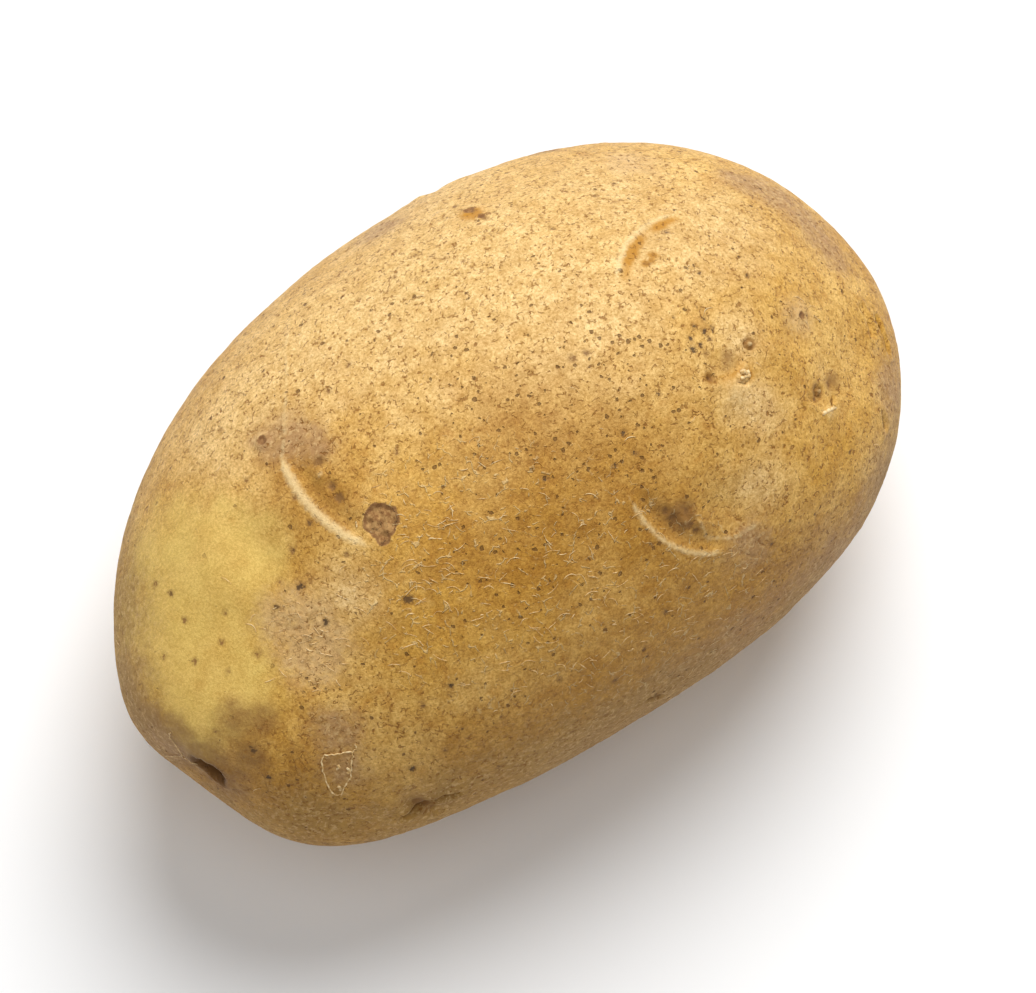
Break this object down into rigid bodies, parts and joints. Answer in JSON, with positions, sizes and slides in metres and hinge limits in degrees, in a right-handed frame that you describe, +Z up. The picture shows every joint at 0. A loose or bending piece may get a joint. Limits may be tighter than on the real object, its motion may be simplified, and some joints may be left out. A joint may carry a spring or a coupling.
{
  "type": "potato",
  "caption": "Whole raw potato with a thin tan skin, shallow eyes with curved brows, small skin scars and a stolon scar, lying on its side.",
  "frame": {"origin": "under the middle of the tuber, halfway along its length and its breadth, level with the flat patch that it lies on", "axes": "+X runs along the tuber from the heel, where the stolon joined, to the rose end with the crowded eyes; +Y runs across it towards its back flank; +Z is up"},
  "size_m": [0.1014, 0.0652, 0.0573],
  "materials": {
    "skin": "matte, dusty tan skin with a slight waxy sheen"
  },
  "bodies": {
    "root": {"potato": "skin"}
  },
  "joints": []
}
